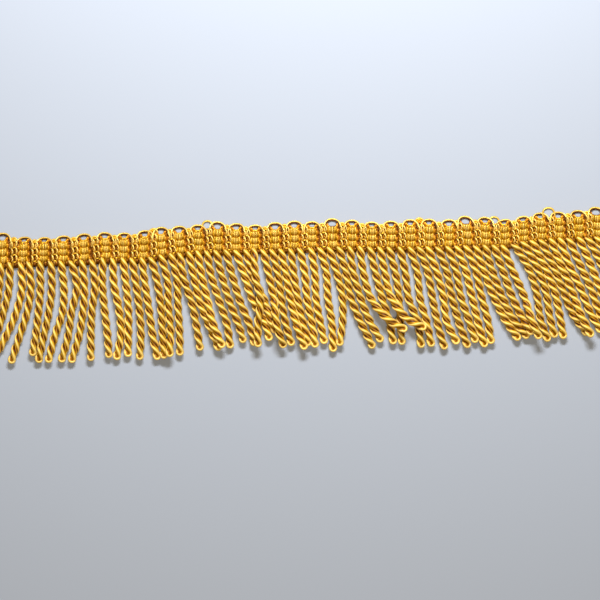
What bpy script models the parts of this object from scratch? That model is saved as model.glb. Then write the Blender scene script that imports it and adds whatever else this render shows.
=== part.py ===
"""Cord fringe trim: a scalloped gimp heading with a row of short twisted cords below it.

The trim lies flat on its back. X runs along it, Y points from the cords' tips to the scallops, and Z
points up off the surface. The origin is the middle of the heading's flat underside.
"""

import math
from collections import namedtuple

import bpy
import numpy as np

MM = 0.001

# The twisted cords: two plies with a left-hand, or S, twist
CORD_RADIUS = 1.35 * MM
WAIST_RADIUS = 0.7 * MM  # across the groove between the two plies
HALF_TWIST = 4.2 * MM  # length in which the plies change sides
CORD_CLEARANCE = 0.1 * MM  # between cords that touch or cross
TIP_SHARE = 0.6  # size of the last section of a cord, where the yarn turns back

# The strip of chain knots that the cords grow from
STRIP_WIDTH = 1.2 * MM
STRIP_HEIGHT = 2.6 * MM
ROOT_WIDTH = 2.4 * MM
PIECE_GAP = 0.3 * MM  # between the strip and the heading

# The heading
NOTCH_DEPTH = 1.3 * MM  # how far the outline dips between two scallops

# How a cord lifts over one that lies under it
SAMPLE_STEP = 0.7 * MM
LIFT_BEND = 45.0  # curvature of the hump, in 1/m
ROOT_SLOPE = 0.6  # steepest rise of a cord from its root
NEIGHBOURS = 7  # cords to either side that one can meet
DROPS = (10 * MM, 20 * MM, 30 * MM)  # where the table gives a cord's sideways place

Scallop = namedtuple("Scallop", "middle top bottom")
SCALLOP_ROWS_MM = (
    (-119.2, 1.2, -11.6),
    (-110.4, -0.4, -11.2),
    (-102.4, -0.6, -10.8),
    (-94.8, 0.0, -10.8),
    (-86.8, 0.8, -10.4),
    (-78.4, 1.4, -9.6),
    (-70.4, 1.2, -9.6),
    (-62.0, 2.2, -9.6),
    (-56.0, 3.4, -8.4),
    (-48.8, 3.8, -7.6),
    (-41.2, 4.4, -6.8),
    (-33.2, 5.8, -6.4),
    (-25.6, 5.0, -6.4),
    (-18.0, 4.4, -6.0),
    (-10.0, 5.4, -6.0),
    (-2.4, 6.0, -5.6),
    (4.8, 5.8, -5.2),
    (12.8, 7.0, -5.2),
    (20.8, 6.4, -5.0),
    (28.8, 5.6, -5.0),
    (36.4, 6.0, -5.2),
    (44.0, 6.6, -5.2),
    (51.6, 6.8, -5.0),
    (59.6, 6.6, -4.8),
    (66.0, 8.0, -4.4),
    (74.0, 7.6, -4.4),
    (81.6, 6.4, -4.4),
    (89.2, 7.8, -2.8),
    (96.0, 9.2, -2.0),
    (103.2, 9.6, -1.6),
    (111.2, 10.2, -1.2),
    (118.4, 11.6, -0.8),
)

# Each cord: its root along the trim, how far it has gone sideways 10, 20 and 30 mm down, and its tip's
# sideways place and drop, all in millimetres. Layer 1 is laid over its neighbours.
Cord = namedtuple("Cord", "root side_10 side_20 side_30 tip_side tip_drop layer")
CORD_ROWS_MM = (
    (-119.6, -0.8, -2.4, -6.0, -9.2, 37.6, 0),
    (-116.0, -0.4, -2.8, -6.0, -9.2, 37.6, 0),
    (-111.6, 0.4, -2.0, -6.4, -10.0, 36.8, 0),
    (-108.4, 0.8, -0.8, -4.0, -6.8, 38.8, 0),
    (-104.0, 0.2, -0.6, -1.8, -2.8, 36.0, 0),
    (-99.6, 0.4, -0.8, -3.0, -4.8, 38.8, 0),
    (-95.6, 1.2, 0.6, -2.6, -4.8, 38.8, 0),
    (-91.6, 2.4, 0.2, -1.2, -3.6, 38.8, 0),
    (-87.2, 1.0, 0.4, -1.2, -4.0, 39.2, 0),
    (-83.2, 1.2, 0.0, -0.4, -0.4, 38.8, 0),
    (-78.8, -0.2, 0.6, 1.8, 2.4, 38.0, 0),
    (-74.8, 0.4, 2.4, 3.2, 1.6, 38.8, 0),
    (-70.8, 1.2, 2.2, 2.2, 2.0, 37.6, 0),
    (-67.2, 1.6, 3.0, 3.6, 3.2, 38.8, 0),
    (-63.2, 1.2, 2.8, 4.2, 6.0, 38.8, 0),
    (-59.6, 2.6, 4.0, 4.6, 5.2, 38.8, 0),
    (-55.6, 2.6, 3.0, 3.8, 3.6, 38.8, 0),
    (-51.6, 2.4, 2.8, 3.4, 3.6, 38.8, 0),
    (-48.0, 1.6, 4.8, 6.8, 8.0, 37.2, 0),
    (-44.4, 2.0, 4.4, 8.4, 11.6, 37.6, 0),
    (-40.8, 1.6, 4.0, 6.6, 9.6, 36.8, 0),
    (-37.2, 1.8, 5.0, 8.2, 9.2, 37.2, 0),
    (-33.6, 2.4, 5.4, 9.2, 10.8, 35.2, 0),
    (-29.6, 2.6, 5.6, 9.6, 11.2, 36.4, 0),
    (-25.6, 3.4, 6.8, 12.0, 13.2, 34.4, 0),
    (-21.6, 2.6, 7.4, 10.8, 11.2, 34.4, 0),
    (-18.4, 0.6, 2.6, 1.6, 1.6, 37.2, 0),
    (-14.8, 2.4, 4.4, 5.6, 8.0, 37.6, 0),
    (-11.2, 2.4, 3.8, 5.6, 7.6, 36.8, 0),
    (-7.6, 2.0, 3.8, 6.2, 9.2, 38.4, 1),
    (-3.6, 1.2, 2.8, 5.0, 6.8, 37.2, 0),
    (0.0, 2.0, 2.8, 4.8, 6.0, 38.0, 0),
    (4.4, 1.6, 2.0, 3.8, 5.2, 36.8, 0),
    (8.0, 2.6, 3.2, 4.8, 5.2, 40.0, 0),
    (11.6, 3.2, 5.4, 5.4, 4.4, 37.6, 0),
    (15.6, 2.8, 4.8, 8.8, 13.2, 38.8, 0),
    (20.0, 1.4, 4.2, 8.2, 12.0, 36.4, 0),
    (24.0, 1.4, 4.2, 12.8, 17.2, 32.4, 1),
    (28.0, 2.2, 4.8, 7.8, 9.2, 37.2, 0),
    (32.0, 2.0, 4.4, 13.2, 16.8, 31.6, 1),
    (35.6, 2.6, 4.0, 4.6, 5.2, 37.2, 0),
    (40.0, 2.2, 3.4, 7.2, 8.4, 38.4, 0),
    (44.0, 3.0, 4.0, 6.8, 8.4, 38.0, 0),
    (47.6, 3.6, 5.4, 7.4, 10.0, 39.2, 0),
    (51.2, 3.6, 6.2, 7.6, 11.2, 37.2, 0),
    (55.2, 3.6, 5.6, 8.4, 11.6, 38.8, 0),
    (59.2, 3.4, 5.2, 8.6, 10.8, 36.8, 0),
    (62.8, 3.6, 6.0, 8.4, 10.8, 38.8, 0),
    (66.4, 4.0, 6.2, 8.8, 10.0, 37.6, 0),
    (70.4, 3.2, 7.0, 12.0, 16.4, 36.4, 0),
    (74.0, 3.0, 6.8, 11.8, 16.4, 35.6, 0),
    (77.6, 3.6, 7.2, 12.0, 14.4, 34.0, 0),
    (81.2, 4.0, 8.4, 11.2, 13.6, 35.6, 0),
    (85.6, 6.0, 9.2, 10.6, 13.2, 37.6, 0),
    (89.2, 5.6, 9.2, 10.8, 12.4, 36.8, 0),
    (92.8, 5.0, 9.0, 11.2, 12.4, 37.6, 0),
    (96.4, 4.8, 8.8, 13.0, 18.0, 36.8, 0),
    (100.4, 3.8, 8.2, 11.6, 15.2, 37.6, 0),
    (104.0, 3.6, 8.4, 12.4, 16.0, 36.0, 0),
    (107.6, 4.2, 8.8, 12.4, 16.4, 37.6, 0),
    (111.6, 4.4, 8.4, 12.4, 16.0, 37.6, 0),
    (115.2, 5.0, 8.8, 12.4, 16.0, 37.2, 0),
    (118.8, 5.2, 9.2, 12.8, 16.4, 37.2, 0),
)

# The heading's relief: how high each line of the pattern stands, in millimetres. A column is a place
# across one repeat, as a share of its width, and a row is a line along the trim. A row's place is a share
# of the way from the lower edge to the outline.
RELIEF_COLUMNS = (-0.5, -0.32, -0.18, 0.0, 0.18, 0.32)
ReliefRow = namedtuple("ReliefRow", "place wale left_groove left_flank crest right_flank recess")
KNOTS = (2.2, 1.7, 2.1, 2.2, 2.1, 1.7)
CREASE = (2.0, 1.3, 1.6, 1.8, 1.6, 1.0)
CELL = (2.5, 1.5, 2.3, 2.8, 2.3, 1.2)
RELIEF_ROWS = (
    ReliefRow(0.00, 0.0, 0.0, 0.0, 0.0, 0.0, 0.0),
    ReliefRow(0.04, *KNOTS),
    ReliefRow(0.13, *CREASE),
    ReliefRow(0.22, *CELL),
    ReliefRow(0.31, *CREASE),
    ReliefRow(0.42, *CELL),
    ReliefRow(0.52, *CREASE),
    ReliefRow(0.63, *CELL),
    ReliefRow(0.77, 2.2, 2.1, 1.3, 1.0, 1.3, 2.1),
    ReliefRow(0.91, 1.9, 2.3, 2.5, 2.6, 2.5, 2.3),
    ReliefRow(1.00, 0.0, 0.0, 0.0, 0.0, 0.0, 0.0),
)

# Materials: base colour, roughness. Faces that meet at more than SHARP_ANGLE are shaded with an edge.
HEADING_LOOK = ((0.62, 0.33, 0.045), 0.45)
CORD_LOOK = ((0.70, 0.38, 0.05), 0.38)
SHARP_ANGLE = math.radians(30)


def in_metres(row):
    return [value * MM for value in row]


SCALLOPS = [Scallop(*in_metres(row)) for row in SCALLOP_ROWS_MM]
CORDS = [Cord(*in_metres(row[:-1]), row[-1]) for row in CORD_ROWS_MM]


def along(x, column):
    """A column of the scallop table, between its rows."""
    return float(np.interp(x, [s.middle for s in SCALLOPS], [getattr(s, column) for s in SCALLOPS]))


def plan_route(cord):
    """The cord's middle line seen from above, as points about SAMPLE_STEP apart."""
    start = along(cord.root, "bottom")
    sides = (0.0, cord.side_10, cord.side_20, cord.side_30, cord.tip_side)
    drops = (0.0, *DROPS, cord.tip_drop)
    knots = np.array([(cord.root + side, start - drop) for side, drop in zip(sides, drops)])
    spans = np.linalg.norm(np.diff(knots, axis=0), axis=1)
    places = np.concatenate(([0.0], np.cumsum(spans)))
    slopes = np.gradient(knots, places, axis=0)
    points = []
    for i, span in enumerate(spans):
        for t in np.arange(0.0, 1.0, SAMPLE_STEP / span / 2):
            ends = (1 + 2 * t) * (1 - t) ** 2 * knots[i] + t * t * (3 - 2 * t) * knots[i + 1]
            pulls = t * (1 - t) ** 2 * slopes[i] - t * t * (1 - t) * slopes[i + 1]
            points.append(ends + span * pulls)
    points.append(knots[-1])
    return resample(np.array(points), SAMPLE_STEP)


def lengths_along(points):
    steps = np.linalg.norm(np.diff(points, axis=0), axis=1)
    return np.concatenate(([0.0], np.cumsum(steps)))


def resample(points, step):
    """The same line with evenly spaced points, its ends kept."""
    places = lengths_along(points)
    count = max(2, round(places[-1] / step) + 1)
    even = np.linspace(0.0, places[-1], count)
    return np.stack([np.interp(even, places, column) for column in points.T], axis=1)


def lay_cords(routes):
    """Gives each route its heights: on the surface, or over the cords that were laid before it."""
    reach = 2 * CORD_RADIUS + CORD_CLEARANCE
    laid = {}
    for i in sorted(range(len(routes)), key=lambda k: (CORDS[k].layer, k)):
        route = routes[i]
        need = np.full(len(route), CORD_RADIUS)
        for j, other in laid.items():
            if abs(i - j) > NEIGHBOURS:
                continue
            apart = np.linalg.norm(route[:, None, :] - other[None, :, :2], axis=2)
            rise = other[None, :, 2] + np.sqrt(np.clip(reach**2 - apart**2, 0.0, None))
            need = np.maximum(need, np.where(apart < reach, rise, 0.0).max(axis=1))
        places = lengths_along(route)
        humps = need[None, :] - LIFT_BEND * (places[:, None] - places[None, :]) ** 2
        heights = np.minimum(humps.max(axis=1), CORD_RADIUS + ROOT_SLOPE * places)
        laid[i] = np.column_stack((route, heights))
    return [laid[i] for i in range(len(routes))]


def section(centre, direction, angle, share=1.0):
    """Four points round the cord's middle line: two plies and, between them, two grooves."""
    side = (-direction[1], direction[0])
    points = []
    for corner in range(4):
        radius = share * (WAIST_RADIUS if corner % 2 else CORD_RADIUS)
        turn = angle + corner * math.pi / 2
        out = radius * math.cos(turn)
        up = radius * math.sin(turn)
        points.append((centre[0] + out * side[0], centre[1] + out * side[1], centre[2] + up))
    return points


def cord_sections(route):
    """The cord's sections, a quarter turn apart, from just below its root to its tip."""
    quarter = HALF_TWIST / 2
    middle = resample(route, quarter)
    sections = []
    for k in range(1, len(middle)):
        before = middle[k - 1]
        after = middle[min(k + 1, len(middle) - 1)]
        direction = (after - before)[:2]
        direction = direction / np.linalg.norm(direction)
        angle = math.pi / 2 - (k - 1) * math.pi / 2
        last = k == len(middle) - 1
        sections.append(section(middle[k], direction, angle, TIP_SHARE if last else 1.0))
    return sections


class Shell:
    """Points and faces of one closed mesh."""

    def __init__(self):
        self.points = []
        self.faces = []

    def add(self, point):
        self.points.append(tuple(point))
        return len(self.points) - 1

    def face(self, *corners):
        self.faces.append(corners)

    def to_object(self, name, look):
        mesh = bpy.data.meshes.new(name)
        mesh.from_pydata(self.points, [], self.faces)
        mesh.shade_smooth()
        mesh.set_sharp_from_angle(angle=SHARP_ANGLE)
        mesh.materials.append(yarn_material(name + "_yarn", look))
        obj = bpy.data.objects.new(name, mesh)
        bpy.context.collection.objects.link(obj)
        return obj


def yarn_material(name, look):
    colour, roughness = look
    material = bpy.data.materials.new(name)
    material.use_nodes = True
    shader = material.node_tree.nodes["Principled BSDF"]
    shader.inputs["Base Color"].default_value = (*colour, 1.0)
    shader.inputs["Roughness"].default_value = roughness
    shader.inputs["Metallic"].default_value = 0.0
    return material


def grow_cord(shell, root, route):
    """Joins the cord to its four root points on the strip, and closes it at its tip."""
    before = root
    for points in cord_sections(route):
        ring = [shell.add(point) for point in points]
        for corner in range(4):
            previous = corner - 1
            shell.face(before[previous], before[corner], ring[corner])
            shell.face(before[previous], ring[corner], ring[previous])
        before = ring
    shell.face(before[0], before[1], before[2])
    shell.face(before[0], before[2], before[3])


def build_fringe():
    """The strip of chain knots with every cord growing from its lower side, as one body."""
    shell = Shell()
    routes = lay_cords([plan_route(cord) for cord in CORDS])
    columns = []
    for cord, route in zip(CORDS, routes):
        corners = []
        for x in (cord.root - ROOT_WIDTH / 2, cord.root + ROOT_WIDTH / 2):
            front = along(x, "bottom")
            back = front + STRIP_WIDTH
            column = [shell.add((x, y, z)) for y in (front, back) for z in (0.0, STRIP_HEIGHT)]
            columns.append(column)
            corners.append(column)
        left, right = corners
        grow_cord(shell, (left[1], left[0], right[0], right[1]), route)
    for k, (left, right) in enumerate(zip(columns, columns[1:])):
        front_low, front_high, back_low, back_high = left
        next_front_low, next_front_high, next_back_low, next_back_high = right
        shell.face(front_high, next_front_high, next_back_high, back_high)
        shell.face(back_low, next_back_low, next_front_low, front_low)
        shell.face(next_back_low, back_low, back_high, next_back_high)
        if k % 2:
            shell.face(front_low, next_front_low, next_front_high, front_high)
    front_low, front_high, back_low, back_high = columns[0]
    shell.face(back_low, front_low, front_high, back_high)
    front_low, front_high, back_low, back_high = columns[-1]
    shell.face(front_low, back_low, back_high, front_high)
    return shell.to_object("fringe", CORD_LOOK)


def heading_columns():
    """Each column of the heading's relief: its x, its outline's y, and its place in a relief row."""
    middles = [s.middle for s in SCALLOPS]
    columns = []
    for i, scallop in enumerate(SCALLOPS):
        left = middles[i - 1] if i else 2 * middles[0] - middles[1]
        right = middles[i + 1] if i + 1 < len(middles) else 2 * middles[-1] - middles[-2]
        for kind, share in enumerate(RELIEF_COLUMNS):
            span = scallop.middle - left if share < 0 else right - scallop.middle
            columns.append((scallop.middle + share * span, share, kind + 1))
    columns.append((scallop.middle + (right - scallop.middle) / 2, RELIEF_COLUMNS[0], 1))
    return [(x, along(x, "top") - NOTCH_DEPTH * (2 * share) ** 2, kind) for x, share, kind in columns]


def build_heading():
    """The scalloped gimp band: relief on top, one flat face below."""
    shell = Shell()
    grid = []
    for x, outline, kind in heading_columns():
        lower = along(x, "bottom") + STRIP_WIDTH + PIECE_GAP
        line = [(x, lower + row.place * (outline - lower), row[kind] * MM) for row in RELIEF_ROWS]
        grid.append([shell.add(point) for point in line])
    for left, right in zip(grid, grid[1:]):
        for k in range(len(RELIEF_ROWS) - 1):
            shell.face(left[k], right[k], right[k + 1])
            shell.face(left[k], right[k + 1], left[k + 1])
        shell.face(left[-1], right[-1], right[0], left[0])
    shell.face(*grid[0])
    shell.face(*reversed(grid[-1]))
    return shell.to_object("heading", HEADING_LOOK)


def main():
    for obj in list(bpy.data.objects):
        bpy.data.objects.remove(obj, do_unlink=True)
    build_heading()
    build_fringe()


main()
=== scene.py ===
"""Cord fringe trim, lying on a pale table and seen from straight above.

The trim lies flat on its back. X runs along it, Y points from the cords' tips to the scallops, and Z
points up off the table. Every yarn is a tube of its own.
"""

import math
from collections import namedtuple

import bpy
import numpy as np
from mathutils import Matrix


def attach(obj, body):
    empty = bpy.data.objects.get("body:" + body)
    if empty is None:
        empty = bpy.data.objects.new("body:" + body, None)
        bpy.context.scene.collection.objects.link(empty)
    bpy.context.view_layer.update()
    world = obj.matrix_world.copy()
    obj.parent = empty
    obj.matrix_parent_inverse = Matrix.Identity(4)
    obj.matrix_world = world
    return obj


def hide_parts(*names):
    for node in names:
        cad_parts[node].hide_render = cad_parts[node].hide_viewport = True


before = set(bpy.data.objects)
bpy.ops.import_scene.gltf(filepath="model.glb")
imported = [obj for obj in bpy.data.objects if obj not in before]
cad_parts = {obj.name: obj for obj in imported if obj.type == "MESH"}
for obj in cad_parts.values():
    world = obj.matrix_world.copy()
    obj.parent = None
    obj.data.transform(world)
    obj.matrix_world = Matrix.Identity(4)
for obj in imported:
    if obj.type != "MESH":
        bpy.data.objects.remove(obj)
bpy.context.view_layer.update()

MM = 0.001
SEED = 20
UP = np.array((0.0, 0.0, 1.0))

# The heading's repeats, in millimetres: the arch's middle, the scallop's top, the heading's lower edge,
# how far the foot of the repeat stands to the right of its arch, and the height of the light hole.
Scallop = namedtuple("Scallop", "middle top bottom lean hole")
SCALLOP_ROWS_MM = (
    (-119.2, 1.2, -11.6, 0.4, 1.6),
    (-110.4, -0.4, -11.2, -0.4, 0.8),
    (-102.4, -0.6, -10.8, -0.2, 0.8),
    (-94.8, 0.0, -10.8, 0.3, 1.2),
    (-86.8, 0.8, -10.4, 0.8, 1.4),
    (-78.4, 1.4, -9.6, 1.2, 1.3),
    (-70.4, 1.2, -9.6, -0.2, 0.9),
    (-62.0, 2.2, -9.6, -0.8, 1.2),
    (-56.0, 3.4, -8.4, 1.0, 1.6),
    (-48.8, 3.8, -7.6, 1.4, 1.6),
    (-41.2, 4.4, -6.8, 1.2, 1.0),
    (-33.2, 5.8, -6.4, 0.8, 1.8),
    (-25.6, 5.0, -6.4, 0.2, 1.4),
    (-18.0, 4.4, -6.0, 0.0, 1.0),
    (-10.0, 5.4, -6.0, 0.2, 1.8),
    (-2.4, 6.0, -5.6, 0.4, 1.6),
    (4.8, 5.8, -5.2, 0.2, 1.2),
    (12.8, 7.0, -5.2, 0.6, 2.6),
    (20.8, 6.4, -5.0, 0.2, 1.0),
    (28.8, 5.6, -5.0, 0.0, 0.9),
    (36.4, 6.0, -5.2, 0.4, 1.0),
    (44.0, 6.6, -5.2, 0.8, 1.0),
    (51.6, 6.8, -5.0, 0.4, 1.0),
    (59.6, 6.6, -4.8, 0.4, 1.6),
    (66.0, 8.0, -4.4, 1.6, 2.4),
    (74.0, 7.6, -4.4, 0.8, 1.0),
    (81.6, 6.4, -4.4, 0.8, 0.7),
    (89.2, 7.8, -2.8, 0.6, 0.9),
    (96.0, 9.2, -2.0, 1.2, 1.0),
    (103.2, 9.6, -1.6, 1.0, 1.4),
    (111.2, 10.2, -1.2, 1.0, 1.6),
    (118.4, 11.6, -0.8, 1.0, 2.8),
)

# Each cord: its root along the trim, how far it has gone sideways 10, 20 and 30 mm down, and its tip's
# sideways place and drop, all in millimetres. Layer 1 is laid over its neighbours.
Cord = namedtuple("Cord", "root side_10 side_20 side_30 tip_side tip_drop layer")
CORD_ROWS_MM = (
    (-119.6, -0.8, -2.4, -6.0, -9.2, 37.6, 0),
    (-116.0, -0.4, -2.8, -6.0, -9.2, 37.6, 0),
    (-111.6, 0.4, -2.0, -6.4, -10.0, 36.8, 0),
    (-108.4, 0.8, -0.8, -4.0, -6.8, 38.8, 0),
    (-104.0, 0.2, -0.6, -1.8, -2.8, 36.0, 0),
    (-99.6, 0.4, -0.8, -3.0, -4.8, 38.8, 0),
    (-95.6, 1.2, 0.6, -2.6, -4.8, 38.8, 0),
    (-91.6, 2.4, 0.2, -1.2, -3.6, 38.8, 0),
    (-87.2, 1.0, 0.4, -1.2, -4.0, 39.2, 0),
    (-83.2, 1.2, 0.0, -0.4, -0.4, 38.8, 0),
    (-78.8, -0.2, 0.6, 1.8, 2.4, 38.0, 0),
    (-74.8, 0.4, 2.4, 3.2, 1.6, 38.8, 0),
    (-70.8, 1.2, 2.2, 2.2, 2.0, 37.6, 0),
    (-67.2, 1.6, 3.0, 3.6, 3.2, 38.8, 0),
    (-63.2, 1.2, 2.8, 4.2, 6.0, 38.8, 0),
    (-59.6, 2.6, 4.0, 4.6, 5.2, 38.8, 0),
    (-55.6, 2.6, 3.0, 3.8, 3.6, 38.8, 0),
    (-51.6, 2.4, 2.8, 3.4, 3.6, 38.8, 0),
    (-48.0, 1.6, 4.8, 6.8, 8.0, 37.2, 0),
    (-44.4, 2.0, 4.4, 8.4, 11.6, 37.6, 0),
    (-40.8, 1.6, 4.0, 6.6, 9.6, 36.8, 0),
    (-37.2, 1.8, 5.0, 8.2, 9.2, 37.2, 0),
    (-33.6, 2.4, 5.4, 9.2, 10.8, 35.2, 0),
    (-29.6, 2.6, 5.6, 9.6, 11.2, 36.4, 0),
    (-25.6, 3.4, 6.8, 12.0, 13.2, 34.4, 0),
    (-21.6, 2.6, 7.4, 10.8, 11.6, 31.6, 0),
    (-18.4, 0.6, 2.6, 1.6, 1.6, 37.2, 0),
    (-14.8, 2.4, 4.4, 5.6, 8.0, 37.6, 0),
    (-11.2, 2.4, 3.8, 5.6, 7.6, 36.8, 0),
    (-7.6, 2.0, 3.8, 6.2, 9.2, 38.4, 1),
    (-3.6, 1.2, 2.8, 5.0, 6.8, 37.2, 0),
    (0.0, 2.0, 2.8, 4.8, 6.0, 38.0, 0),
    (4.4, 1.6, 2.0, 3.8, 5.2, 36.8, 0),
    (8.0, 2.6, 3.2, 4.8, 5.2, 40.0, 0),
    (11.6, 3.2, 5.4, 5.4, 4.4, 37.6, 0),
    (15.6, 2.8, 4.8, 8.8, 13.2, 38.8, 0),
    (20.0, 1.4, 4.2, 8.2, 12.0, 36.4, 0),
    (24.0, 1.4, 4.2, 12.8, 17.2, 32.4, 1),
    (28.0, 2.2, 4.8, 7.8, 9.2, 37.2, 0),
    (32.0, 2.0, 4.4, 13.2, 16.8, 31.6, 1),
    (35.6, 2.6, 4.0, 4.6, 5.2, 37.2, 0),
    (40.0, 2.2, 3.4, 7.2, 8.4, 38.4, 0),
    (44.0, 3.0, 4.0, 6.8, 8.4, 38.0, 0),
    (47.6, 3.6, 5.4, 7.4, 10.0, 39.2, 0),
    (51.2, 3.6, 6.2, 7.6, 11.2, 37.2, 0),
    (55.2, 3.6, 5.6, 8.4, 11.6, 38.8, 0),
    (59.2, 3.4, 5.2, 8.6, 10.8, 36.8, 0),
    (62.8, 3.6, 6.0, 8.4, 10.8, 38.8, 0),
    (66.4, 4.0, 6.2, 8.8, 10.0, 37.6, 0),
    (70.4, 3.2, 7.0, 12.0, 16.4, 36.4, 0),
    (74.0, 3.0, 6.8, 11.8, 16.4, 35.6, 0),
    (77.6, 3.6, 7.2, 12.0, 14.4, 34.0, 0),
    (81.2, 4.0, 8.4, 11.2, 13.6, 35.6, 0),
    (85.6, 6.0, 9.2, 10.6, 13.2, 37.6, 0),
    (89.2, 5.6, 9.2, 10.8, 12.4, 36.8, 0),
    (92.8, 5.0, 9.0, 11.2, 12.4, 37.6, 0),
    (96.4, 4.8, 8.8, 13.0, 18.0, 36.8, 0),
    (100.4, 3.8, 8.2, 11.6, 15.2, 37.6, 0),
    (104.0, 3.6, 8.4, 12.4, 16.0, 36.0, 0),
    (107.6, 4.2, 8.8, 12.4, 16.4, 37.6, 0),
    (111.6, 4.4, 8.4, 12.4, 16.0, 37.6, 0),
    (115.2, 5.0, 8.8, 12.4, 16.0, 37.2, 0),
    (118.8, 5.2, 9.2, 12.8, 16.4, 37.2, 0),
)
DROPS = (10 * MM, 20 * MM, 30 * MM)  # where the table gives a cord's sideways place

# How a cord lies on the table and lifts over one that lies under it
SAMPLE_STEP = 0.7 * MM
CORD_HEIGHT = 1.86 * MM  # of a cord's middle line where it lies on the table
CORD_REACH = 2.9 * MM  # how near to each other two cords' middle lines come
LIFT_BEND = 45.0  # curvature of the hump, in 1/m
ROOT_SLOPE = 0.6  # steepest rise of a cord from its root
NEIGHBOURS = 7  # cords to either side that one can meet

# The twisted cords. Each is one yarn that is doubled over at the tip and twisted with itself, so its two
# runs are the cord's plies. The yarn is a body painted brown with shade, and one thick thread along its
# outer side painted bright as the ply's highlight. The plies lie round threads painted dark with shade, the
# core.
PLY_RADIUS = 0.86 * MM
HELIX_RADIUS = 0.80 * MM  # from the cord's middle line to the middle of each ply
PLY_GLOW = 0.2  # painted light: how much lighter a ply is where it crosses the other one on top
HIGHLIGHT_THREAD_RADIUS = 0.42 * MM
HIGHLIGHT_THREAD_OFFSET = 0.63 * MM  # from the middle of the ply to the middle of the bright thread painted as its highlight
HIGHLIGHT_THREAD_LEAN = 0.8  # how far that highlight thread leans upwards from the ply's outermost line, onto its top
CORE_RADIUS = 1.25 * MM
CORE_THREADS = 6
CORE_LAY = -0.45 / MM  # turn of those threads, in radians for each metre
CORE_STEP = 0.6 * MM
CORE_TUCK = 0.4 * MM  # how far the core goes into the loop at the tip
CORE_FADE = 2.0 * MM  # the length over which it gets thinner towards the tip
CORE_THINNEST = 0.45  # as a share of its radius
CORE_GLOW = 0.42  # painted light: how much lighter it is where a ply crosses it; elsewhere it keeps its painted shade
YARN_STEP = 0.56 * MM
HALF_TWIST = 4.3 * MM
TWIST_CHANGE = 0.12  # how many half twists a cord may have more or fewer
FIRST_CROSSING = 3.3 * MM  # below the root, where the plies first lie side by side
CROSSING_CHANGE = 0.5 * MM
ROOT_TUCK = 0.2 * MM  # how far a cord goes up under the heading
ROOT_RISE = 2.0 * MM  # the length over which it rises from there
ROOT_GATHER = 0.45  # how much narrower the twist is there, as a share of its radius
ROOT_SINK = 0.35 * MM  # how far it goes down there
TIP_LENGTH = 2.6 * MM  # of the bend at a cord's tip
TIP_STEPS = 8
TIP_NARROWING = 0.12  # how much narrower the twist is there, as a share of its radius
TIP_LIFT = 0.1  # how far the yarn's outer side, and with it its painted highlight and shade, turns upwards there
TIP_GLOW = 0.28  # painted light: how much lighter the yarn's inner side is there
TIP_SWELL = 0.22  # how much thicker the highlight thread is there, as a share of its radius

# The painted shade of a yarn's corners, by how deep they lie in the work, from 0 in the light to 1 in the
# dark, from its outermost corner round one half of it to its innermost
BODY_DEPTHS = [0.32, 0.5, 0.95, 1.0, 1.0]
HIGHLIGHT_THREAD_DEPTHS = [0.0, 0.0, 0.05, 0.35, 0.8]
# One thread of the core and the groove beside it: how far its corners reach, and how deep they lie, painted
# as shade
CORE_REACHES = [1.05, 0.98, 0.96, 0.98]
CORE_DEPTHS = [0.45, 1.0, 1.1, 1.0]

# The heading, in millimetres
COLUMN_HEIGHT = 11.4  # of the pattern before it is fitted to each repeat
HEADING_HEIGHT = 2.4  # above the table
HEADING_STEP = 0.33
THREAD_RIDGE = 0.05  # how far a yarn's threads stand out, as a share of its radius
LOW_SHADE = 0.5  # painted shade: how much darker a yarn is where it lies on the table
LOW_CURVE = 1.3

# Radii of the heading's yarns, in millimetres
ARCH_RADIUS = 0.31
INNER_ARCH_RADIUS = 0.28
BACK_ARCH_RADIUS = 0.36
CELL_RADIUS = 0.32
SIDE_RADIUS = 0.36
HOLE_OUTER_RADIUS = 0.38
HOLE_INNER_RADIUS = 0.36
HOLE_TOP_RADIUS = 0.34
WALE_RADIUS = 0.31
WALE_TIE_RADIUS = 0.33
CROSS_TIE_RADIUS = 0.34
CHAIN_RADIUS = 0.34
STITCH_RADIUS = 0.3
GROUND_RADIUS = 0.36

# The front arch: places to the right of the repeat's middle and up from the arch's top, and heights
ARCH_TOP = COLUMN_HEIGHT - 0.2
ARCH_KNOTS_MM = (
    (-3.2, -5.0, 1.4),
    (-3.2, -3.4, 1.6),
    (-2.95, -2.1, 1.2),
    (-2.2, -1.0, 0.75),
    (-1.1, -0.5, 0.52),
    (0.1, -0.4, 0.5),
    (1.3, -0.6, 0.55),
    (2.35, -1.2, 0.85),
    (3.05, -2.2, 1.4),
    (3.35, -3.4, 1.8),
    (3.4, -5.0, 1.5),
)

# Painted light and shade: the arches are painted lighter, and the yarn inside the front arch dark as the
# shade under it
ARCH_SHADE = -0.25
INNER_ARCH_SHADE = 0.75
INNER_ARCH_SHADE_TONE = 0.1
BACK_ARCH_RINGS = 3
BACK_ARCH_SPACING = 0.62
BACK_ARCH_SHADING = 0.2  # painted shade: how much darker each smaller loop is

# The three cells of a repeat, in millimetres: foot, head and height of the crown
CELLS_MM = ((0.15, 2.55, 2.4), (2.85, 5.25, 2.5), (5.55, 7.9, 2.45))
CELL_STRANDS = 5
CELL_SPACING = 0.63
CELL_HALF_WIDTH = 1.24
# Painted shade of the cell strands: a little on all, more on the outermost, on their undersides and into the
# creases
CELL_SHADE = 0.02
CELL_EDGE_SHADE = 0.08  # painted shade: how much darker the outermost strands are
CELL_SHADE_CHANGE = 0.09
CELL_DEEPEST = 1.5
CREASE = 0.75  # how far the painted shade of the creases reaches along the strands
# The strands at either side of the cells: place, height and painted shade
SIDE_STRANDS = ((1.75, 1.55, 0.28), (2.3, 1.2, 0.5))
SIDE_KNOTS = 13
SIDE_KNOT_STEP = 0.68

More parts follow.
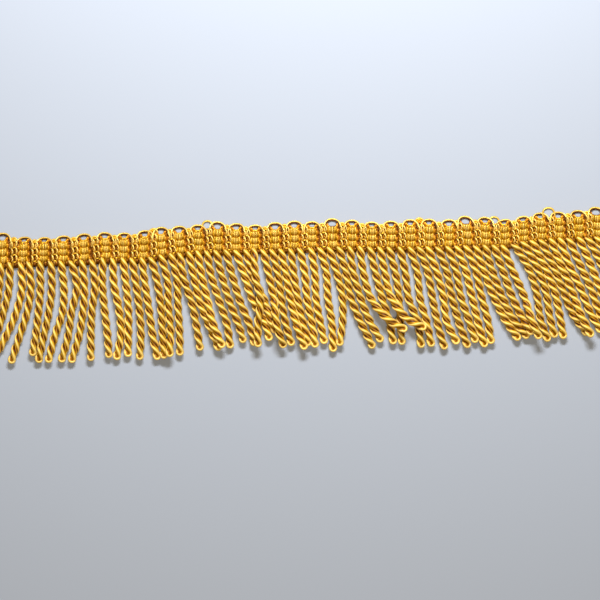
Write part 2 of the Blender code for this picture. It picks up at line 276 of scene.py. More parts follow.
# The two beaded wales in the gap between two repeats: place, top and number of beads
WALE_PERIOD = 2.8
WALE_SHIFT = 0.4  # to the right of the gap's middle
WALES = ((-0.86, 8.75, 3), (0.86, 9.1, 3))
CROSS_TIE_PLACES = (0.5, 3.3, 6.1, 8.7)

# The loop behind each gap: how high and wide it is, and whether it is open. The numbers of the gaps are
# those of the repeats on their left, and a half.
USUAL_LOOP_TOP = 10.3
USUAL_LOOP_WIDTH = 1.5
RAISED_LOOPS = {
    7.5: (11.6, 1.9, False),
    10.5: (12.4, 2.1, True),
    21.5: (12.0, 1.7, False),
    25.5: (12.2, 2.0, True),
    28.5: (13.4, 2.3, True),
}

# The weft rows below the heading, and the chain and stitches along its lower edge
GROUND_ROWS = 17
GROUND_FOOT = -1.6
GROUND_SPACING = 0.6
GROUND_HEIGHT = 0.42
GROUND_WAVE = 0.06
GROUND_STEP = 1.0
# painted shade: the ground rows are dark as the shade under the heading and between the cords' heads
GROUND_SHADE = 0.85
GROUND_KNOT_SPAN = 0.125  # of a repeat
CHAIN_PLACE = -0.25
CHAIN_HEIGHT = 1.0
CHAIN_TWIST = 1.95  # length of a half twist
CHAIN_HELIX = 0.3
CHAIN_STEP = 0.3
# Painted shade of the chain
CHAIN_SHADE = 0.25
CHAIN_KNOT_SPAN = 0.25  # of a repeat
# Painted shade of the stitches, dark as the shade between the cords' heads
STITCH_SHADE = 0.75
# Each crossing stitch: places to the side and up from the heading's lower edge, and heights
STITCH_KNOTS_MM = ((0.45, 0.5, 1.1), (0.4, -0.3, 1.7), (-0.2, -0.8, 1.8), (-0.3, -1.4, 1.4), (0.1, -1.9, 0.8))

# Golds: a painted highlight, the yarns' own satin and warm golds, and three depths of painted shade
HIGHLIGHT_GOLD = (0.87, 0.61, 0.155)
SATIN_GOLD = (0.66, 0.41, 0.013)
SHADED_GOLD = (0.38, 0.145, 0.001)
WARM_GOLD = (0.69, 0.41, 0.014)
ORANGE_SHADE = (0.46, 0.155, 0.002)
DARK_GOLD = (0.07, 0.018, 0.0)
SHEEN_GOLD = (1.0, 0.88, 0.55)
TABLE_GREY = (0.343, 0.39, 0.478)

# The looks of the two yarns. Their colours, from painted highlight to painted shade, are given with the depth
# at which each one is reached.
FinishAndShading = namedtuple("FinishAndShading", "colours roughness metallic")
CORD_FINISH_AND_SHADING = FinishAndShading(
    ((0.04, HIGHLIGHT_GOLD), (0.3, SATIN_GOLD), (0.6, SHADED_GOLD), (0.95, DARK_GOLD)), 0.45, 0.15
)
HEADING_FINISH_AND_SHADING = FinishAndShading(
    ((0.04, HIGHLIGHT_GOLD), (0.3, WARM_GOLD), (0.6, ORANGE_SHADE), (0.98, DARK_GOLD)), 0.33, 0.4
)
YARN_SPECULAR = 0.2
SHEEN = 0.02
SHEEN_ROUGHNESS = 0.35
FIBRES_ROUND = 46.0
FIBRES_ALONG = 0.8  # for each millimetre
FIBRE_DETAIL = 3.0
FIBRE_RANGE = (0.3, 0.7)  # of the noise that makes the fibres
FIBRE_TONES = (0.82, 1.12)
FIBRE_RELIEF = 0.06 * MM
RELIEF_STRENGTH = 0.35
YARN_TONES = (0.86, 1.08)
TABLE_ROUGHNESS = 0.8
TABLE_SPECULAR = 0.15
TABLE_REACH = 1.5

Light = namedtuple("Light", "name place target size power colour")
LIGHTS = (
    Light("key", (0.025, 0.34, 0.38), (0.0, 0.28, 0.0), (0.2, 0.1), 5.2, (1.0, 0.98, 0.95)),
    Light("above", (0.08, -0.22, 1.15), (0.0, 0.0, 0.0), (0.3, 0.2), 7.1, (1.0, 0.86, 0.66)),
)
ROOM_COLOUR = (1.0, 0.85, 0.65)
ROOM_STRENGTH = 0.11
CAMERA_PLACE = (0.0, -0.026, 0.6687)
CAMERA_TARGET = (0.0, -0.026, 0.0)
CAMERA_LENS = 100.0
CAMERA_SENSOR = 36.0

random = np.random.default_rng(SEED)


def jitter(size):
    """A random number from -size to size."""
    return random.uniform(-size, size)


def in_metres(row):
    return [value * MM for value in row]


SCALLOPS = [Scallop(*in_metres(row)) for row in SCALLOP_ROWS_MM]
CORDS = [Cord(*in_metres(row[:-1]), row[-1]) for row in CORD_ROWS_MM]


def along(x, column):
    """A column of the scallop table, between its rows."""
    return np.interp(x, [s.middle for s in SCALLOPS], [getattr(s, column) for s in SCALLOPS])


# Lines


def unit(vectors):
    return vectors / np.linalg.norm(vectors, axis=-1, keepdims=True)


def lengths_along(points):
    steps = np.linalg.norm(np.diff(points, axis=0), axis=1)
    return np.concatenate(([0.0], np.cumsum(steps)))


def resample(points, step):
    """The same line with evenly spaced points, its ends kept."""
    places = lengths_along(points)
    count = max(2, round(places[-1] / step) + 1)
    even = np.linspace(0.0, places[-1], count)
    return np.stack([np.interp(even, places, column) for column in points.T], axis=1)


def smooth_line(knots, step):
    """A smooth line through the knots, as evenly spaced points."""
    knots = np.array(knots, dtype=float)
    places = lengths_along(knots)
    slopes = np.gradient(knots, places, axis=0)
    points = []
    for i, span in enumerate(np.diff(places)):
        t = np.arange(0.0, 1.0, min(0.5, step / span / 2))[:, None]
        ends = (1 + 2 * t) * (1 - t) ** 2 * knots[i] + t * t * (3 - 2 * t) * knots[i + 1]
        pulls = t * (1 - t) ** 2 * slopes[i] - t * t * (1 - t) * slopes[i + 1]
        points.append(ends + span * pulls)
    points.append(knots[-1:])
    return resample(np.concatenate(points), step)


def side_and_up(line):
    """Directions at each point of a line: along it, level across it, and square to both."""
    tangents = unit(np.gradient(line, axis=0))
    side = unit(np.stack([-tangents[:, 1], tangents[:, 0], np.zeros(len(line))], axis=1))
    return tangents, side, np.cross(tangents, side)


def facing_up(line):
    """Upward directions for a line. They lean a trace, so that none of them runs along an upright yarn."""
    return np.tile(UP, (len(line), 1)) + 1e-4


def plan_route(cord):
    """The cord's middle line seen from above."""
    start = along(cord.root, "bottom")
    sides = (0.0, cord.side_10, cord.side_20, cord.side_30, cord.tip_side)
    drops = (0.0, *DROPS, cord.tip_drop)
    return smooth_line([(cord.root + side, start - drop) for side, drop in zip(sides, drops)], SAMPLE_STEP)


def lay_cords(routes):
    """Gives each route its heights: on the table, or over the cords that were laid before it."""
    laid = {}
    for i in sorted(range(len(routes)), key=lambda k: (CORDS[k].layer, k)):
        route = routes[i]
        need = np.full(len(route), CORD_HEIGHT)
        for j, other in laid.items():
            if abs(i - j) > NEIGHBOURS:
                continue
            apart = np.linalg.norm(route[:, None, :] - other[None, :, :2], axis=2)
            rise = other[None, :, 2] + np.sqrt(np.clip(CORD_REACH**2 - apart**2, 0.0, None))
            need = np.maximum(need, np.where(apart < CORD_REACH, rise, 0.0).max(axis=1))
        places = lengths_along(route)
        humps = need[None, :] - LIFT_BEND * (places[:, None] - places[None, :]) ** 2
        heights = np.minimum(humps.max(axis=1), CORD_HEIGHT + ROOT_SLOPE * places)
        laid[i] = np.column_stack((route, heights))
    return [laid[i] for i in range(len(routes))]


# Yarn tubes


# The outline of a yarn: how far each corner stands from the middle, as a share of the yarn's radius, and
# how deep it lies in the work, which sets its painted shade. The first corner is the outermost.
Section = namedtuple("Section", "reaches depths")


def threaded(sides, ridge=0.0, deepest=1.0):
    """A round section on which every other corner is raised, painted in deeper shade towards its inner side.
    """
    corners = np.arange(sides)
    depths = deepest * (0.5 - 0.5 * np.cos(2 * math.pi * corners / sides))
    return Section(np.where(corners % 2, 1 - ridge, 1 + ridge), depths)


def round_section(depths):
    """A round section. Its depths go from the outermost corner to the innermost, and back the same way."""
    mirrored = np.array(depths + depths[-2:0:-1])
    return Section(np.ones(len(mirrored)), mirrored)


BODY_SECTION = round_section(BODY_DEPTHS)
HIGHLIGHT_THREAD_SECTION = round_section(HIGHLIGHT_THREAD_DEPTHS)
CORE_SECTION = Section(np.array(CORE_REACHES * CORE_THREADS), np.array(CORE_DEPTHS * CORE_THREADS))


class Yarns:
    """Yarn tubes gathered into one mesh. Its map "yarn" has the place round and along each yarn, and its
    colour layer has how deep a point lies in the work, which the material paints as shade, and the yarn's own
    tone."""

    def __init__(self):
        self.points = []
        self.quads = []
        self.caps = []
        self.maps = []
        self.painted_shade_and_tone = []
        self.count = 0

    def add(self, line, outward, radius, section, lay=0.0, deepen=0.0, tone=None):
        """A tube round the line, its first corner facing outward. Deepen is added to the section's depths,
        its painted shade.
        """
        count = len(line)
        sides = len(section.reaches)
        places = lengths_along(line)
        tangents = unit(np.gradient(line, axis=0))
        first = unit(outward - (outward * tangents).sum(axis=1, keepdims=True) * tangents)
        second = np.cross(tangents, first)
        corners = np.arange(sides)
        angles = 2 * math.pi * corners[None, :] / sides + lay * places[:, None]
        radii = (np.zeros(count) + radius)[:, None] * section.reaches[None, :]
        rings = (
            line[:, None, :]
            + (radii * np.cos(angles))[..., None] * first[:, None, :]
            + (radii * np.sin(angles))[..., None] * second[:, None, :]
        )
        self.points.append(rings.reshape(-1, 3))
        self.add_faces(places, sides)
        # First channel: the painted shade from each corner's depth. Second: the yarn's own tone.
        painted_shade_and_tone = np.zeros((count, sides, 4))
        painted_shade_and_tone[..., 0] = np.clip(section.depths[None, :] + (np.zeros(count) + deepen)[:, None], 0.0, 1.0)
        painted_shade_and_tone[..., 1] = random.random() if tone is None else tone
        painted_shade_and_tone[..., 3] = 1.0
        self.painted_shade_and_tone.append(painted_shade_and_tone.reshape(-1, 4))
        self.count += count * sides

    def add_faces(self, places, sides):
        """The faces of the tube whose rings stand at these places along it, and their part of the map."""
        corners = np.arange(sides)
        here = self.count + np.arange(len(places) - 1)[:, None] * sides
        after = (corners + 1) % sides
        quads = np.stack(
            (here + corners, here + after, here + sides + after, here + sides + corners), axis=-1
        )
        self.quads.append(quads.reshape(-1, 4))
        across = np.stack((corners, corners + 1, corners + 1, corners), axis=-1) / sides
        low = places[:-1, None, None] + np.zeros((1, sides, 1))
        high = places[1:, None, None] + np.zeros((1, sides, 1))
        length = np.concatenate((low, low, high, high), axis=-1) / MM
        self.maps.append(np.stack((across[None, :, :] + np.zeros_like(length), length), axis=-1))
        last = self.count + (len(places) - 1) * sides
        self.caps.append([self.count + sides - 1 - k for k in range(sides)])
        self.caps.append([last + k for k in range(sides)])

    def to_piece(self, name, material, slot, *nodes):
        """The gathered yarns as one piece of the model. Its caps come last and have no place on the map."""
        mesh = bpy.data.meshes.new(name)
        quads = np.concatenate(self.quads)
        mesh.from_pydata(np.concatenate(self.points).tolist(), [], quads.tolist() + self.caps)
        yarn_map = mesh.uv_layers.new(name="yarn")
        mapped = np.concatenate([patch.reshape(-1, 2) for patch in self.maps])
        corner_places = np.zeros((len(mesh.loops), 2))
        corner_places[: len(mapped)] = mapped
        yarn_map.data.foreach_set("uv", corner_places.ravel())
        painted_shade_and_tone = mesh.color_attributes.new("painted_shade_and_tone", "FLOAT_COLOR", "POINT")
        painted_shade_and_tone.data.foreach_set("color", np.concatenate(self.painted_shade_and_tone).ravel())
        mesh.shade_smooth()
        mesh.materials.append(material)
        obj = bpy.data.objects.new(name, mesh)
        bpy.context.collection.objects.link(obj)
        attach(obj, "root")
        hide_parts(*nodes)
        return obj


# The cords


def tucked_in(route):
    """The cord's middle line with its root tucked under the heading: its points, how far each one is below
    the root, and how near it is to the root, from 0 to 1."""
    route = resample(route, YARN_STEP)
    start = route[0] - unit(route[1] - route[0]) * ROOT_TUCK
    middle = resample(np.vstack((start, route)), YARN_STEP)
    drops = lengths_along(middle) - ROOT_TUCK
    near_root = np.clip(1 - (drops + ROOT_TUCK) / ROOT_RISE, 0.0, 1.0) ** 2
    middle[:, 2] -= ROOT_SINK * near_root
    return middle, drops, near_root


def doubled_yarn(middle, turns, spread):
    """The yarn's line from the root down to the tip and back up, its outward directions, and how near each
    point is to the tip, from 0 to 1. Spread is how far the yarn is from the cord's middle line."""
    tangents, side, up = side_and_up(middle)
    out = np.cos(turns)[:, None] * side + np.sin(turns)[:, None] * up
    bend = np.linspace(0.0, math.pi, TIP_STEPS + 1)[1:-1, None]
    tip = np.cos(bend) * out[-1] + np.sin(bend) * tangents[-1]
    away = spread[:, None] * out
    line = np.concatenate((middle + away, middle[-1] + spread[-1] * tip, (middle - away)[::-1]))
    places = lengths_along(line)
    near_tip = np.exp(-(((places - places[-1] / 2) / TIP_LENGTH) ** 4))
    outward = np.concatenate((out, tip, -out[::-1])) + TIP_LIFT * near_tip[:, None] * UP
    along_yarn = unit(np.gradient(line, axis=0))
    outward = unit(outward - (outward * along_yarn).sum(axis=1, keepdims=True) * along_yarn)
    return line, outward, near_tip


def add_core(yarns, middle, first_crossing, half_twist, tone):
    """The threads in the cord's middle, painted dark as the shade between the plies, which thin out into the
    loop at its tip.
    """
    downwards = unit(middle[-1] - middle[-2])
    core = resample(np.vstack((middle, middle[-1] + CORE_TUCK * downwards)), CORE_STEP)
    places = lengths_along(core)
    turns = math.pi * (first_crossing + ROOT_TUCK - places) / half_twist
    glow = CORE_GLOW * np.sin(turns) ** 4
    radius = CORE_RADIUS * np.clip((places[-1] - places) / CORE_FADE, CORE_THINNEST, 1.0)
    upwards = np.tile(UP, (len(core), 1))
    yarns.add(core, upwards, radius, CORE_SECTION, CORE_LAY, -glow, tone=tone)


def add_cord(yarns, route):
    """One cord: the yarn's body, the bright thread painted as its highlight, and the core between its two
    runs.
    """
    twist_change = jitter(TWIST_CHANGE)
    first_crossing = FIRST_CROSSING + jitter(CROSSING_CHANGE)
    tone = random.random()
    middle, drops, near_root = tucked_in(route)
    twists = max(1, round((drops[-1] - first_crossing) / HALF_TWIST)) + twist_change
    half_twist = (drops[-1] - first_crossing) / twists
    turns = math.pi * (first_crossing - drops) / half_twist
    narrowing = TIP_NARROWING * np.exp(-(((drops[-1] - drops) / TIP_LENGTH) ** 2))
    spread = HELIX_RADIUS * (1 - narrowing - ROOT_GATHER * near_root)
    line, outward, near_tip = doubled_yarn(middle, turns, spread)
    # Painted light: the ply is lighter where it faces up over the other one, and round the tip
    glow = PLY_GLOW * np.clip(outward[:, 2], 0.0, 1.0) ** 2 + TIP_GLOW * near_tip
    yarns.add(line, outward, PLY_RADIUS, BODY_SECTION, 0.0, -glow, tone=tone)
    # The bright thread along the top of each ply is painted as its highlight
    leaning = unit(outward + HIGHLIGHT_THREAD_LEAN * UP)
    thickness = HIGHLIGHT_THREAD_RADIUS * (1 + TIP_SWELL * near_tip)
    yarns.add(line + HIGHLIGHT_THREAD_OFFSET * leaning, leaning, thickness, HIGHLIGHT_THREAD_SECTION, tone=tone)
    add_core(yarns, middle, first_crossing, half_twist, tone)


def build_cords(material):
    routes = lay_cords([plan_route(cord) for cord in CORDS])
    third = len(CORDS) // 3
    for k, name in enumerate(("cords_left", "cords_middle", "cords_right")):
        yarns = Yarns()
        for route in routes[k * third : (k + 1) * third]:
            add_cord(yarns, route)
        yarns.to_piece(name, material, "cord_yarn", "fringe")


# The heading


def place(column, u, v, z):
    """A point of the heading: u mm to the right of the column's middle line, v mm up in the pattern and z mm
    above the table. Half columns are the gaps between two repeats."""
    numbers = np.arange(len(SCALLOPS))
    top_x = np.interp(column, numbers, [s.middle for s in SCALLOPS])
    foot_x = top_x + np.interp(column, numbers, [s.lean for s in SCALLOPS])
    height = np.interp(column, numbers, [s.top - s.bottom for s in SCALLOPS])
    share = v / COLUMN_HEIGHT
    x = foot_x + (top_x - foot_x) * share + u * MM
    y = along(foot_x + u * MM, "bottom") + share * height
    return (x, y, z * MM)


def placed(column, knots):
    """The knots of a pattern as points of the heading."""
    return [place(column, *knot) for knot in knots]


def columns_every(span):
    """Column numbers all along the heading, this far apart."""
    last = len(SCALLOPS) - 1
    return np.linspace(0.0, last, round(last / span) + 1)


def lowness(line):
    """How low each point of a line lies in the heading: 0 at the top of the cells and 1 on the table."""
    return np.clip(1.0 - line[:, 2] / (HEADING_HEIGHT * MM), 0.0, 1.0) ** LOW_CURVE


def add_yarn(yarns, knots, radius, sides=8, shade=0.0, dark_ends=0.0, tone=None, deepest=0.45):
    """A yarn through points of the heading. It is painted with shade on its underside, where it lies low, by
    shade, and towards its ends by dark_ends. Radius and dark_ends are in millimetres.
    """
    line = smooth_line(knots, HEADING_STEP * MM)
    deepen = shade + LOW_SHADE * lowness(line)
    if dark_ends:
        places = lengths_along(line) / MM
        nearest = np.minimum(places, places[-1] - places)
        deepen = deepen + np.exp(-((nearest / dark_ends) ** 2))
    section = threaded(sides, THREAD_RIDGE, deepest)
    yarns.add(line, facing_up(line), radius * MM, section, 0.0, deepen, tone)


def add_front_arch(yarns, column):
    """The smooth yarn that goes over the light hole, painted lighter, and the yarn inside it, painted dark as
    the shade under the arch.
    """
    outer = [(u, ARCH_TOP + v + 0.1, z) for u, v, z in ARCH_KNOTS_MM]
    add_yarn(yarns, placed(column, outer), ARCH_RADIUS, sides=10, shade=ARCH_SHADE)
    inner = [(u * 0.85, ARCH_TOP + v - 0.44, max(0.3, z - 0.15)) for u, v, z in ARCH_KNOTS_MM[1:-1]]
    add_yarn(yarns, placed(column, inner), INNER_ARCH_RADIUS, shade=INNER_ARCH_SHADE, tone=INNER_ARCH_SHADE_TONE)


def add_back_arch(yarns, column, top, width, is_open):
    """The loop behind a notch, painted lighter, with smaller loops inside it, each in deeper painted shade,
    unless it is open.
    """
    for ring in range(1 if is_open else BACK_ARCH_RINGS):
        inset = BACK_ARCH_SPACING * ring
        reach = width - inset
        height = top - 0.5 - inset
        knots = [
            (-reach, top - 4.6, 0.7),
            (-reach, top - 2.4, 0.6),
            (-0.72 * reach, height - 0.55, 0.5),
            (0.0, height, 0.42),
            (0.72 * reach, height - 0.55, 0.5),
            (reach, top - 2.4, 0.6),
            (reach, top - 4.6, 0.7),
        ]
        shade = ARCH_SHADE + BACK_ARCH_SHADING * ring
        add_yarn(yarns, placed(column, knots), BACK_ARCH_RADIUS, shade=shade)


def add_cell(yarns, column, low, high, crown):
    """One gimp cell: strands side by side that rise out of one crease and go down into the next, painted in
    shade into the creases.
    """
    for k in range(CELL_STRANDS):
        u = (k - (CELL_STRANDS - 1) / 2) * CELL_SPACING
        off_middle = abs(u / CELL_HALF_WIDTH)
        curl = 0.3 * off_middle**2
        edge = 0.3 * off_middle
        lean = jitter(0.05)
        span = high - low
        knots = [
            (u * 0.95, low - 0.02 + curl, 0.9),
            (u * 0.98, low + 0.12 + curl, crown - 0.6 - edge),
            (u + lean, low + 0.3 * span + curl, crown - 0.15 - edge),
            (u * 1.02 + lean, low + 0.56 * span + curl, crown - edge),
            (u + lean, low + 0.8 * span + curl, crown - 0.05 - edge),
            (u * 0.98, high - 0.1 + curl, crown - 0.5 - edge),
            (u * 0.95, high + 0.02 + curl, 0.9),
        ]
        shade = CELL_SHADE + CELL_EDGE_SHADE * off_middle + jitter(CELL_SHADE_CHANGE)
        add_yarn(
            yarns, placed(column, knots), CELL_RADIUS, shade=shade, dark_ends=CREASE, deepest=CELL_DEEPEST
        )


def add_side_strands(yarns, column):
    """The strands on both sides of the cells, painted in shade, more on the right, and drawn in at each
    crease.
    """
    for side in (-1, 1):
        phase = 0.6 if side > 0 else 0.0
        more_shade = 0.08 if side > 0 else 0.0
        for u, height, shade in SIDE_STRANDS:
            knots = []
            for k in range(SIDE_KNOTS):
                v = 0.1 + k * SIDE_KNOT_STEP
                wave = math.sin(2 * math.pi * (v - 0.3) / WALE_PERIOD + phase)
                knots.append((side * (u + 0.14 * wave), v, height + 0.3 * wave))
            add_yarn(yarns, placed(column, knots), SIDE_RADIUS, shade=shade + more_shade)


def add_hole_loops(yarns, column, hole):
    """The loops on both sides of the light hole, and the top of the upper cell below it, all painted in
    shade, the outer loops most.
    """
    floor = ARCH_TOP - 1.25 - 0.85 * hole
    for side in (-1, 1):
        outer = [
            (side * 2.3, ARCH_TOP - 2.3, 0.8),
            (side * 2.0, floor + 0.5, 1.15),
            (side * 1.6, floor - 0.6, 1.3),
            (side * 1.55, floor - 1.9, 1.3),
            (side * 1.6, 6.0, 1.1),
        ]
        add_yarn(yarns, placed(column, outer), HOLE_OUTER_RADIUS, shade=0.4)
        inner = [
            (side * 2.0, ARCH_TOP - 1.9, 0.7),
            (side * 1.75, floor + 0.65, 1.0),
            (side * 1.15, floor - 0.05, 1.3),
            (side * 0.6, floor - 0.9, 1.7),
            (side * 0.45, 7.2, 1.5),
        ]
        add_yarn(yarns, placed(column, inner), HOLE_INNER_RADIUS, shade=0.25)
    cell_top = [
        (-1.2, 7.4, 1.1),
        (-0.9, floor - 1.0, 1.5),
        (0.0, floor - 0.4, 1.4),
        (0.9, floor - 1.0, 1.5),
        (1.2, 7.4, 1.1),
    ]
    add_yarn(yarns, placed(column, cell_top), HOLE_TOP_RADIUS, shade=0.05)


def add_bowed_wale(yarns, column, u, top, beads):
    """A bright yarn that bows to the right between its ties, and the yarn that ties it down, painted in
    shade.
    """
    bright = []
    under = []
    for k in range(beads):
        v = top - WALE_PERIOD * k
        swing = jitter(0.06)
        bright.append((u - 0.36, v, 1.0))
        bright.append((u - 0.16 + swing, v - 0.35, 2.1))
        bright.append((u + 0.2 + swing, v - 0.95, 2.4))
        bright.append((u + 0.36 + swing, v - 1.6, 2.4))
        bright.append((u + 0.2, v - 2.2, 2.2))
        bright.append((u - 0.2, v - 2.6, 1.3))
        under.append((u + 0.3, v, 1.3))
        under.append((u - 0.3, v - 0.7, 1.2))
        under.append((u - 0.45, v - 1.6, 1.2))
        under.append((u - 0.1, v - 2.3, 1.4))
    add_yarn(yarns, placed(column, bright), WALE_RADIUS)
    add_yarn(yarns, placed(column, under), WALE_TIE_RADIUS, shade=0.3)


def add_wales(yarns, column):
    """The two beaded wales in the gap right of a repeat, and the ties between them, painted in light shade.
    """
    for u, top, beads in WALES:
        add_bowed_wale(yarns, column, u + WALE_SHIFT, top, beads)
    for v in CROSS_TIE_PLACES:
        knots = [(-0.9, v - 0.1, 1.2), (-0.3, v, 1.45), (0.3, v, 1.45), (0.9, v + 0.1, 1.2)]
        shifted = [(u + WALE_SHIFT, height, z) for u, height, z in knots]
        add_yarn(yarns, placed(column, shifted), CROSS_TIE_RADIUS, shade=0.1)


def add_ground(yarns):
    """The weft rows that lie on the table under the whole heading, each a little up and down, painted dark
    with shade. The lowest rows reach out below the heading's lower edge, between the cords' heads.
    """
    section = threaded(6, 0.0, 0.2)
    for row in range(GROUND_ROWS):
        v = GROUND_FOOT + GROUND_SPACING * row
        knots = []
        for k, column in enumerate(columns_every(GROUND_KNOT_SPAN)):
            knots.append(place(column, 0.0, v, GROUND_HEIGHT + GROUND_WAVE * (-1) ** (k + row)))
        line = smooth_line(knots, GROUND_STEP * MM)
        yarns.add(line, facing_up(line), GROUND_RADIUS * MM, section, 0.0, GROUND_SHADE)


def add_edge_chain(yarns):
    """The row of chain knots along the lower edge, which holds the cords, painted in light shade."""
    knots = [place(column, 0.0, CHAIN_PLACE, CHAIN_HEIGHT) for column in columns_every(CHAIN_KNOT_SPAN)]
    line = smooth_line(knots, CHAIN_STEP * MM)
    _, side, up = side_and_up(line)
    turns = 0.4 - math.pi * lengths_along(line) / (CHAIN_TWIST * MM)
    section = threaded(8, 0.06, 0.6)
    for start in (0.0, math.pi):
        out = np.cos(turns + start)[:, None] * side + np.sin(turns + start)[:, None] * up
        strand = line + CHAIN_HELIX * MM * out
        yarns.add(strand, out, CHAIN_RADIUS * MM, section, 0.0, CHAIN_SHADE)


def add_edge_stitches(yarns):
    """The small crossing stitches that hang between the cords' heads, painted in deep shade."""
    for left, right in zip(CORDS, CORDS[1:]):
        middle = (left.root + right.root) / 2 + jitter(0.2 * MM)
        drop = 0.75 + random.random() * 0.4
        for side in (-1, 1):
            points = []
            for u, v, z in STITCH_KNOTS_MM:
                x = middle + side * u * MM
                points.append((x, along(x, "bottom") + drop * v * MM, z * MM))
            add_yarn(yarns, points, STITCH_RADIUS, shade=STITCH_SHADE)


def build_heading(material):
    arches = Yarns()
    cells = Yarns()
    wales = Yarns()
    for column, scallop in enumerate(SCALLOPS):
        add_front_arch(arches, column)
        add_hole_loops(cells, column, scallop.hole / MM)
        for low, high, crown in CELLS_MM:
            add_cell(cells, column, low, high, crown)
        add_side_strands(cells, column)
    for column in range(len(SCALLOPS) - 1):
        gap = column + 0.5
        usual = (USUAL_LOOP_TOP + jitter(0.2), USUAL_LOOP_WIDTH, False)
        add_back_arch(arches, gap, *RAISED_LOOPS.get(gap, usual))
        add_wales(wales, gap)
    add_ground(wales)
    add_edge_chain(wales)
    add_edge_stitches(wales)
    arches.to_piece("heading_arches", material, "heading_yarn", "heading")
    cells.to_piece("heading_cells", material, "heading_yarn", "heading")
    wales.to_piece("heading_wales", material, "heading_yarn", "heading")


# Materials


def add_fibres(nodes, links):
    """Noise that is drawn out along each yarn: its fine fibres."""
    yarn_map = nodes.new("ShaderNodeUVMap")
    yarn_map.uv_map = "yarn"
    stretch = nodes.new("ShaderNodeMapping")
    stretch.inputs["Scale"].default_value = (FIBRES_ROUND, FIBRES_ALONG, 1.0)
    links.new(yarn_map.outputs["UV"], stretch.inputs["Vector"])
    fibres = nodes.new("ShaderNodeTexNoise")
    fibres.inputs["Scale"].default_value = 1.0
    fibres.inputs["Detail"].default_value = FIBRE_DETAIL
    links.new(stretch.outputs["Vector"], fibres.inputs["Vector"])
    return fibres.outputs["Fac"]


def add_depth_colours(nodes, links, depth, colours):
    """The yarn's colour by how deep a point lies: painted highlight on top, painted shade in the depths."""
    tint = nodes.new("ShaderNodeValToRGB")
    stops = tint.color_ramp.elements
    stops[0].position = colours[0][0]
    stops[0].color = (*colours[0][1], 1.0)
    stops[1].position = colours[-1][0]
    stops[1].color = (*colours[-1][1], 1.0)
    for position, colour in colours[1:-1]:
        stops.new(position).color = (*colour, 1.0)
    links.new(depth, tint.inputs["Fac"])
    return tint.outputs["Color"]


def add_tones(nodes, links, value, tones, value_range=(0.0, 1.0)):
    """A factor that goes from the first tone to the second while the value crosses its range."""
    spread = nodes.new("ShaderNodeMapRange")
    spread.inputs["From Min"].default_value = value_range[0]
    spread.inputs["From Max"].default_value = value_range[1]
    spread.inputs["To Min"].default_value = tones[0]
    spread.inputs["To Max"].default_value = tones[1]
    links.new(value, spread.inputs["Value"])
    return spread.outputs["Result"]


def yarn_material(name, finish_and_shading):
    """Satin yarn: fine fibres along it, each yarn a little lighter or darker, painted browner and darker with
    shade where it lies deep.
    """
    material = bpy.data.materials.new(name)
    material.use_nodes = True
    nodes = material.node_tree.nodes
    links = material.node_tree.links
    shader = nodes["Principled BSDF"]
    shader.inputs["Metallic"].default_value = finish_and_shading.metallic
    shader.inputs["Roughness"].default_value = finish_and_shading.roughness
    shader.inputs["Specular IOR Level"].default_value = YARN_SPECULAR
    shader.inputs["Sheen Weight"].default_value = SHEEN
    shader.inputs["Sheen Roughness"].default_value = SHEEN_ROUGHNESS
    shader.inputs["Sheen Tint"].default_value = (*SHEEN_GOLD, 1.0)

    fibres = add_fibres(nodes, links)
    # The colour layer with the painted shade and the yarn's own tone
    painted_shade_and_tone = nodes.new("ShaderNodeAttribute")
    painted_shade_and_tone.attribute_name = "painted_shade_and_tone"
    parts = nodes.new("ShaderNodeSeparateColor")
    links.new(painted_shade_and_tone.outputs["Color"], parts.inputs["Color"])
    colour = add_depth_colours(nodes, links, parts.outputs["Red"], finish_and_shading.colours)
    both = nodes.new("ShaderNodeMath")
    both.operation = "MULTIPLY"
    links.new(add_tones(nodes, links, parts.outputs["Green"], YARN_TONES), both.inputs[0])
    links.new(add_tones(nodes, links, fibres, FIBRE_TONES, FIBRE_RANGE), both.inputs[1])
    final = nodes.new("ShaderNodeVectorMath")
    final.operation = "SCALE"
    links.new(colour, final.inputs["Vector"])
    links.new(both.outputs["Value"], final.inputs["Scale"])
    links.new(final.outputs["Vector"], shader.inputs["Base Color"])

    bump = nodes.new("ShaderNodeBump")
    bump.inputs["Strength"].default_value = RELIEF_STRENGTH
    bump.inputs["Distance"].default_value = FIBRE_RELIEF
    links.new(fibres, bump.inputs["Height"])
    links.new(bump.outputs["Normal"], shader.inputs["Normal"])
    return material


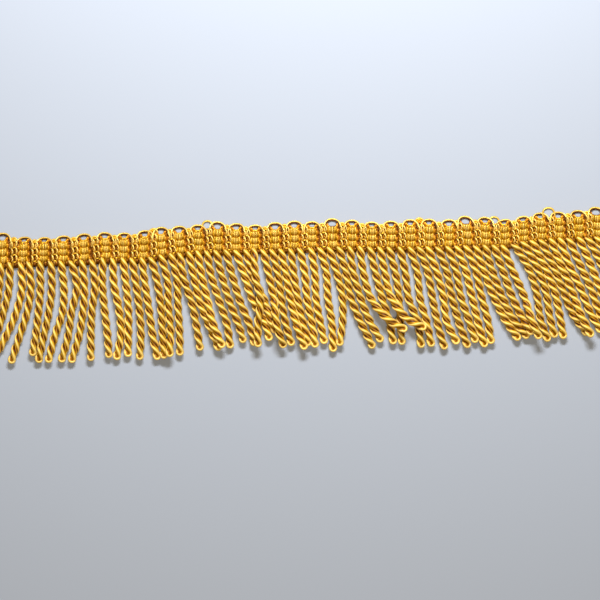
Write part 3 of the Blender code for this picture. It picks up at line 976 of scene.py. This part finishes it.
def table_material():
    material = bpy.data.materials.new("table")
    material.use_nodes = True
    shader = material.node_tree.nodes["Principled BSDF"]
    shader.inputs["Base Color"].default_value = (*TABLE_GREY, 1.0)
    shader.inputs["Roughness"].default_value = TABLE_ROUGHNESS
    shader.inputs["Specular IOR Level"].default_value = TABLE_SPECULAR
    return material


# The room


def build_table():
    mesh = bpy.data.meshes.new("table")
    corners = [(x * TABLE_REACH, y * TABLE_REACH, 0.0) for x, y in ((-1, -1), (1, -1), (1, 1), (-1, 1))]
    mesh.from_pydata(corners, [], [(0, 1, 2, 3)])
    mesh.materials.append(table_material())
    table = bpy.data.objects.new("table", mesh)
    bpy.context.collection.objects.link(table)


def aim(obj, place, target):
    """Puts a camera or light at the place and turns it to the target. The top of its picture points to +Y
    where it looks straight down or nearly so, and upwards elsewhere."""
    forward = unit(np.array(target, dtype=float) - np.array(place, dtype=float))
    looks_down = abs(forward[2]) > 0.9
    across = unit(np.cross(forward, (0.0, 1.0, 0.0) if looks_down else UP))
    upward = np.cross(across, forward)
    turn = Matrix(np.stack((across, upward, -forward), axis=1).tolist())
    obj.matrix_world = Matrix.Translation(place) @ turn.to_4x4()


def add_light(light):
    data = bpy.data.lights.new(light.name, "AREA")
    data.shape = "RECTANGLE"
    data.size, data.size_y = light.size
    data.energy = light.power
    data.color = light.colour
    lamp = bpy.data.objects.new(light.name, data)
    bpy.context.collection.objects.link(lamp)
    aim(lamp, light.place, light.target)


def build_lights():
    for light in LIGHTS:
        add_light(light)
    world = bpy.data.worlds.new("soft_room")
    world.use_nodes = True
    background = world.node_tree.nodes["Background"]
    background.inputs["Color"].default_value = (*ROOM_COLOUR, 1.0)
    background.inputs["Strength"].default_value = ROOM_STRENGTH
    bpy.context.scene.world = world


def build_camera():
    data = bpy.data.cameras.new("camera")
    data.lens = CAMERA_LENS
    data.sensor_width = CAMERA_SENSOR
    camera = bpy.data.objects.new("camera", data)
    bpy.context.collection.objects.link(camera)
    aim(camera, CAMERA_PLACE, CAMERA_TARGET)
    bpy.context.scene.camera = camera


build_camera()
build_lights()
build_table()
bpy.context.scene.view_settings.view_transform = "Standard"
build_cords(yarn_material("cord_yarn", CORD_FINISH_AND_SHADING))
build_heading(yarn_material("heading_yarn", HEADING_FINISH_AND_SHADING))
